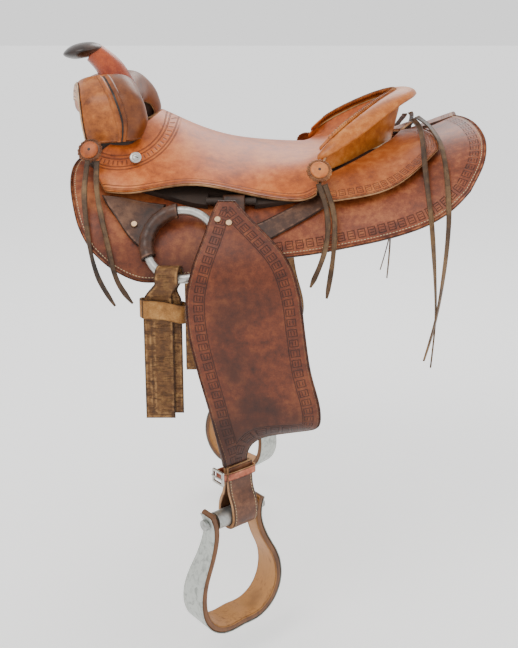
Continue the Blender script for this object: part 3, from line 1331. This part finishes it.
def hanging_strap(front_x, rear_x, length):
    """Strap from the front ply's foot, over the ring's wire and down behind."""
    r = RING_WIRE_R + 5.0 + 2.25
    y, z = WIRE[1], WIRE[2]
    pts = []
    for k in steps(14):
        pts.append((sum(front_x) / 2, y - 2.25 - 0.2 * math.sin(9 * k),
                    z - length + (length - 30) * k))
    pts.append((sum(front_x) / 2 + 4, y - 6, z - 20))
    for a in np.radians(np.arange(-150, -391, -20)):
        pts.append((-125 + 3.0 * math.cos(a), y + r * math.cos(a), z + r * math.sin(a)))
    rear = [(sum(rear_x) / 2 - 2, y + 6, z - 20)]
    for k in reversed(steps(14)):
        rear.append((sum(rear_x) / 2, y + 2.25, z - length + 6 + (length - 36) * k))
    return spline(pts + rear, 2.2)


def strap_widths(line, wide, neck):
    """Width along a hanging strap, narrower where it goes round the ring."""
    near = np.abs(line[:, 2] - WIRE[2])
    t = np.clip((near - 14) / 26, 0, 1)
    return neck + (wide - neck) * t * t * (3 - 2 * t)


def make_hanging(front_x, rear_x, length, wide, f):
    line = hanging_strap(front_x, rear_x, length)
    widths = strap_widths(line, wide, NECK_W)
    p = strap_panel(line, np.tile((1.0, 0, 0), (len(line), 1)), widths, STRAP_T, "u0 u1 v0 v1", 1.3, 16)
    return p.on(f)


latigo_panel = make_hanging((-162, -120), (-150, -108), 210, 42.0, np.asarray)
settle(latigo_panel.build("latigo", ["latigo", "edge", "latigo"], tool_under=True), "latigo_body",
       "latigo_leather", "latigo")


def latigo_wrap():
    """Band of the latigo drawn across its two plies below the ring."""
    x0, x1, y, z = -164.0, -104.0, WIRE[1], WIRE[2] - WRAP_DROP
    c = [(x0 + 2, y - 7.0, z + 3), (-134, y - 7.6, z + 1), (x1 - 3, y - 6.6, z - 5), (x1 + 1, y, z - 5),
         (x1 - 3, y + 7.0, z - 3), (-134, y + 7.4, z), (x0 + 2, y + 7.0, z + 3), (x0 - 2, y, z + 3.5),
         (x0 + 2, y - 7.0, z + 3)]
    line = spline(c, 1.8)
    return strap_panel(line, np.tile((0.0, 0, 1.0), (len(line), 1)), WRAP_W, WRAP_T, "v0 v1", 1.1, 12)


settle(latigo_wrap().build("latigo_wrap", ["latigo_tan", "edge", "latigo_tan"], tool_under=True),
       "latigo_body", "latigo_leather")
billet_panel = make_hanging((-144, -104), (-144, -104), 330, 40.0, flip_y)
settle(billet_panel.build("off_billet", ["latigo", "edge", "latigo"], tool_under=True),
       "off_billet_body", "latigo_leather", "off_billet")

# ---- rosettes
ROSETTES = {"front_rosette": ((-243, -157, 57), (-0.12, -0.86, 0.5)),
            "mid_rosette": ((86, -172, 30), (0.05, -0.80, 0.6))}
BASE_R, DISC_R, LACED_R, FERRULE_R, HEAD_R = 18.8, 13.2, 16.6, 8.6, 5.4


def disc_mesh(name, centre, normal, radius, tall, mat, scallop=0.0, teeth=22, crown=1.0):
    """Domed disc of leather with a scalloped, rounded edge."""
    n = unit(normal)
    a = unit(np.cross(n, (0, 0, 1)))
    b = np.cross(n, a)
    rings = [(0.0, 1.0), (0.3, 1.0), (0.6, 0.97), (0.82, 0.9), (0.93, 0.75), (0.985, 0.5), (1.0, 0.25),
             (0.985, 0.0), (0.9, -0.0)]
    m = teeth * 8
    verts = []
    for r, h in rings:
        for j in range(m):
            t = 2 * math.pi * j / m
            rr = radius * r * (1 - scallop * r ** 6 * abs(math.sin(teeth * t / 2)) ** 3)
            lift = tall * h + crown * (1 - r ** 2) * (h > 0)
            away = (a * math.cos(t) + b * math.sin(t)) * max(rr, 0.02)
            verts.append(np.array(centre) + away + n * lift)
    faces = ring_faces(len(rings), m)
    if np.dot(np.cross(a, b), n) > 0:
        faces = faces[:, ::-1]
    return mesh_object(name, verts, faces, [mat])


def torus_arc(name, centre, normal, radius, wire, mat, count, long, slant):
    """Laced whipping round a disc's edge."""
    n = unit(normal)
    a = unit(np.cross(n, (0, 0, 1)))
    b = np.cross(n, a)
    pts, norms = [], []
    for j in range(count):
        t = 2 * math.pi * j / count
        d = a * math.cos(t) + b * math.sin(t)
        pts.append(np.array(centre) + d * radius)
        norms.append(unit(n * 0.7 + d * 0.7))
    return stitches(name, [(np.array(pts), np.array(norms))], mat, long, wire, wire * 0.9, 0.0, slant)


def make_rosette(part):
    p, n = ROSETTES[part]

    def make(name, f):
        c, m = f(np.array(p, float)), f(np.array(n, float))
        m = unit(m)
        yield disc_mesh(name + "_base", c, m, BASE_R, 2.8, "rim", 0.10, 18, 0.2)
        yield disc_mesh(name + "_disc", c + m * 3.3, m, DISC_R, 2.4, "rosette", 0.03, 20, 0.9)
        yield disc_mesh(name + "_slot", c + m * 6.2, m, 2.4, 0.5, "dark", 0.0, 4, 0.1)
        yield torus_arc(name + "_lacing", c + m * 2.4, m, LACED_R, 2.1, "rim", 30, 5.4, 1.05)
    return make


for part in ROSETTES:
    sided(part, make_rosette(part), "saddle", "saddle_leather")
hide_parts("rosettes")

SCREW = ((-180, -141, 45), (0.05, -0.85, 0.5))


def make_screw(name, f):
    c, n = f(np.array(SCREW[0], float)), unit(f(np.array(SCREW[1], float)))
    yield disc_mesh(name + "_ferrule", c, n, FERRULE_R, 1.3, "nickel", 0.0, 12, 0.6)
    yield disc_mesh(name + "_head", c + n * 1.5, n, HEAD_R, 1.2, "nickel", 0.0, 12, 1.0)
    side = unit(np.cross(n, (0.35, 0, 1)))
    line = [c + n * 3.55 + side * k for k in np.linspace(-4.4, 4.4, 9)]
    across = np.tile(np.cross(n, side), (9, 1))
    yield strap_panel(line, across, 1.1, 0.5, "v0 v1", 0.1, 4).build(name + "_slot", ["dark"] * 3)


sided("fork_screw", make_screw, "saddle", "nickel")
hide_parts("screws")

# ---- saddle strings
# The routes of the CAD model's strings, in metres.
STRINGS = {
    "front_string_a": [(-.244, -.173, .046), (-.247, -.182, .024), (-.248, -.194, -.003),
                       (-.244, -.208, -.032), (-.239, -.222, -.062), (-.231, -.237, -.092),
                       (-.220, -.241, -.122), (-.202, -.242, -.150)],
    "front_string_b": [(-.231, -.173, .045), (-.232, -.182, .022), (-.229, -.193, -.006),
                       (-.221, -.208, -.036), (-.212, -.223, -.067), (-.204, -.237, -.100),
                       (-.193, -.242, -.126), (-.177, -.243, -.146)],
    "mid_string_a": [(.084, -.190, .015), (.092, -.197, -.005), (.097, -.208, -.028),
                     (.097, -.218, -.054), (.091, -.230, -.079), (.082, -.234, -.103),
                     (.072, -.235, -.125)],
    "mid_string_b": [(.093, -.190, .014), (.102, -.198, -.009), (.107, -.210, -.033),
                     (.106, -.222, -.060), (.103, -.234, -.088), (.099, -.238, -.114),
                     (.095, -.239, -.140)],
    "rear_string_a": [(.238, -.040, .090), (.243, -.074, .085), (.242, -.108, .074),
                      (.239, -.141, .059), (.237, -.171, .037), (.238, -.197, .006),
                      (.241, -.219, -.030), (.244, -.229, -.071), (.247, -.235, -.113),
                      (.250, -.237, -.159), (.249, -.237, -.203), (.246, -.237, -.244)],
    "rear_string_b": [(.246, -.034, .093), (.254, -.070, .088), (.260, -.105, .078),
                      (.264, -.142, .066), (.266, -.173, .041), (.266, -.201, .008),
                      (.265, -.223, -.028), (.262, -.233, -.070), (.257, -.241, -.112),
                      (.251, -.246, -.156), (.243, -.247, -.196), (.234, -.247, -.230)]}
LACE_W, LACE_T = 8.0, 2.2


def route_line(points):
    """Points read from a smooth curve whose control points are the route."""
    cu = bpy.data.curves.new("route", "CURVE")
    cu.dimensions, cu.resolution_u = "3D", 12
    sp = cu.splines.new("NURBS")
    sp.points.add(len(points) - 1)
    for p, co in zip(sp.points, points):
        p.co = (*co, 1)
    sp.order_u = 3
    sp.use_endpoint_u = True
    ob = bpy.data.objects.new("route", cu)
    me = bpy.data.meshes.new_from_object(ob)
    line = np.array([v.co for v in me.vertices])
    bpy.data.objects.remove(ob)
    bpy.data.curves.remove(cu)
    bpy.data.meshes.remove(me)
    return line


def make_string(name, line, twist, start_out, seed):
    """Flat lace that follows a line in metres, twisting a little and tapering to its tip."""
    path = even(line / MM, 2.5)
    t = unit(np.gradient(path, axis=0))
    run = np.linspace(0, 1, len(path))
    out = np.tile(start_out, (len(path), 1))
    out = unit(out - (out * t).sum(1, keepdims=True) * t)
    flat = unit(np.cross(out, t))
    ang = twist * run + 0.25 * np.sin(run * 9 + seed) + 0.1
    wide_dir = flat * np.cos(ang)[:, None] + out * np.sin(ang)[:, None]
    width = LACE_W * (1 - 0.10 * run + 0.05 * np.sin(run * 23 + seed))
    width = width * np.clip((1.02 - run) / 0.10, 0.25, 1) ** 0.6
    p = strap_panel(path, wide_dir, width, LACE_T, "v0 v1", 0.7, 7)
    return p.build(name, ["lace"] * 3, tool_under=True)


for key, pts in STRINGS.items():
    for side, sign in (("near", 1), ("off", -1)):
        line = route_line([(x, y * sign, z) for x, y, z in pts])
        seed = len(key) + 3 * (key[-1] == "b") + (key[0] == "f")
        start = np.array((-0.05, -0.85 * sign, 0.5))
        twist = {"f": 0.5, "m": -0.4, "r": 1.5}[key[0]] * (1 if key[-1] == "a" else -0.8)
        name = side + "_" + key
        ob = make_string(name + "_lace", line, twist, start, seed)
        settle(ob, "saddle", "string_leather", name)

# ---- CAD pieces that keep their shape
KEPT = {"near_ring": "nickel", "off_ring": "nickel", "near_hobble_buckle": "nickel",
        "off_hobble_buckle": "nickel", "near_stirrup_bolt": "steel", "off_stirrup_bolt": "steel",
        "rigging_rivets": "brass", "near_fender_rivets": "brass", "off_fender_rivets": "brass",
        "near_bar": "bar", "off_bar": "bar", "fork": "bar", "cantle": "tree",
        "ground_seat": "tree"}
for node, mat in KEPT.items():
    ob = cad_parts[node]
    if not ob.material_slots:
        ob.data.materials.append(MAT[mat])
    for s in ob.material_slots:
        s.material = MAT[mat]

# ---- studio
FLOOR_Z, FLOOR_HALF, FLOOR_GLOW, WORLD_LIGHT = -0.70, 30, 0.35, 1.3
CAMERA_AT, CAMERA_TILT, CAMERA_LENS, CAMERA_SHIFT = (0, -1.5, 0.245), 14.25, 52.06, -0.108
WHITE = (1.0, 1.0, 1.0, 1)


def studio():
    g = Nodes("studio_floor")
    floor_mat = g.finish((0.9, 0.9, 0.9), 0.9, Emission_Color=WHITE,
                         Emission_Strength=FLOOR_GLOW)
    me = bpy.data.meshes.new("studio_floor")
    corners = [(x * FLOOR_HALF, y * FLOOR_HALF, FLOOR_Z)
               for x, y in ((-1, -1), (1, -1), (1, 1), (-1, 1))]
    me.from_pydata(corners, [], [(0, 1, 2, 3)])
    me.materials.append(floor_mat)
    floor = bpy.data.objects.new("studio_floor", me)
    bpy.context.scene.collection.objects.link(floor)
    world = bpy.data.worlds.new("studio")
    bpy.context.scene.world = world
    world.use_nodes = True
    sky = world.node_tree.nodes["Background"].inputs
    sky[0].default_value, sky[1].default_value = WHITE, WORLD_LIGHT
    for name, at, to, size, power, col in (
            ("key", (-1.0, -1.5, 2.2), (0, -0.1, 0.0), 1.2, 30, (1.0, 0.98, 0.95)),
            ("fill", (1.8, -1.6, 0.7), (0, 0, -0.1), 1.8, 8, (0.95, 0.97, 1.0)),
            ("rim", (0.4, 1.8, 1.6), (0, 0, 0.1), 1.2, 22, (1.0, 0.99, 0.97))):
        light = bpy.data.lights.new(name, "AREA")
        light.size, light.energy, light.color = size, power, col
        ob = bpy.data.objects.new(name, light)
        ob.location = at
        ob.rotation_mode = "QUATERNION"
        ob.rotation_quaternion = (Vector(at) - Vector(to)).to_track_quat("Z", "Y")
        bpy.context.scene.collection.objects.link(ob)


def camera():
    cam = bpy.data.cameras.new("camera")
    cam.sensor_fit, cam.sensor_width, cam.lens = "AUTO", 36.0, CAMERA_LENS
    cam.shift_y = CAMERA_SHIFT
    cam.clip_start, cam.clip_end = 0.05, 50
    ob = bpy.data.objects.new("camera", cam)
    ob.location = CAMERA_AT
    ob.rotation_euler = (math.radians(90 - CAMERA_TILT), 0, 0)
    bpy.context.scene.collection.objects.link(ob)
    bpy.context.scene.camera = ob


studio()
camera()
